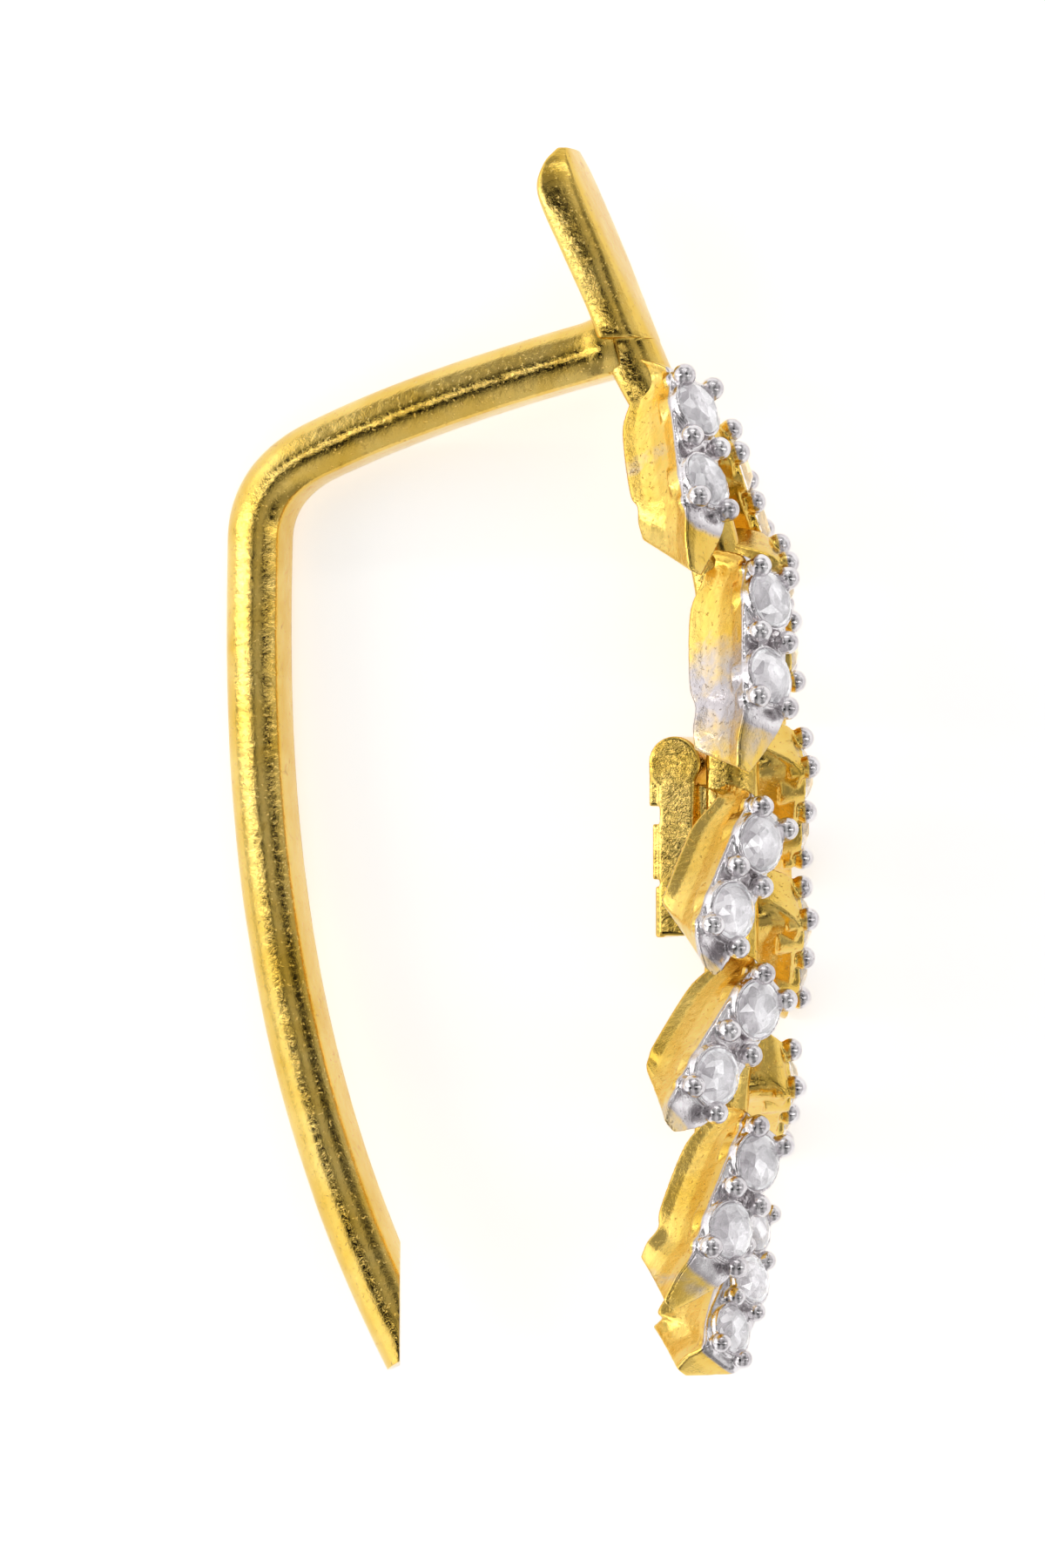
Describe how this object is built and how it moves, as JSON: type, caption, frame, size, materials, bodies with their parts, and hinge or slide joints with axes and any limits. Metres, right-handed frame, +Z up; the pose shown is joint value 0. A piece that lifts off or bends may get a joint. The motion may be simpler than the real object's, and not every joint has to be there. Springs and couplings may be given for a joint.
{
  "type": "ear cuff",
  "caption": "Leaf-spray ear cuff: a curved gold-tone hook wire joined at the top to a feather-like spray of deep leaves set with small round clear stones.",
  "frame": {"origin": "middle of the bounding box, on the surface that the cuff lies on", "axes": "the cuff lies on its side: +Y runs along the spray from its end leaf to its top finger, +X from the hook towards the jewelled front, +Z up through its near side"},
  "size_m": [0.017, 0.0342, 0.0088],
  "materials": {
    "gold": "polished gold plating, white-plated leaf fronts, tips and prongs",
    "stone": "clear round brilliant cut"
  },
  "bodies": {
    "root": {"metal_body": "gold", "stone_near_1a": "stone", "stone_near_1b": "stone", "stone_near_2a": "stone", "stone_near_2b": "stone", "stone_near_3a": "stone", "stone_near_3b": "stone", "stone_near_4a": "stone", "stone_near_4b": "stone", "stone_near_5a": "stone", "stone_near_5b": "stone", "stone_far_1a": "stone", "stone_far_1b": "stone", "stone_far_2a": "stone", "stone_far_2b": "stone", "stone_far_3a": "stone", "stone_far_3b": "stone", "stone_far_4a": "stone", "stone_far_4b": "stone", "stone_far_5a": "stone", "stone_far_5b": "stone", "stone_end_1a": "stone", "stone_end_1b": "stone", "stone_end_1c": "stone"}
  },
  "joints": []
}
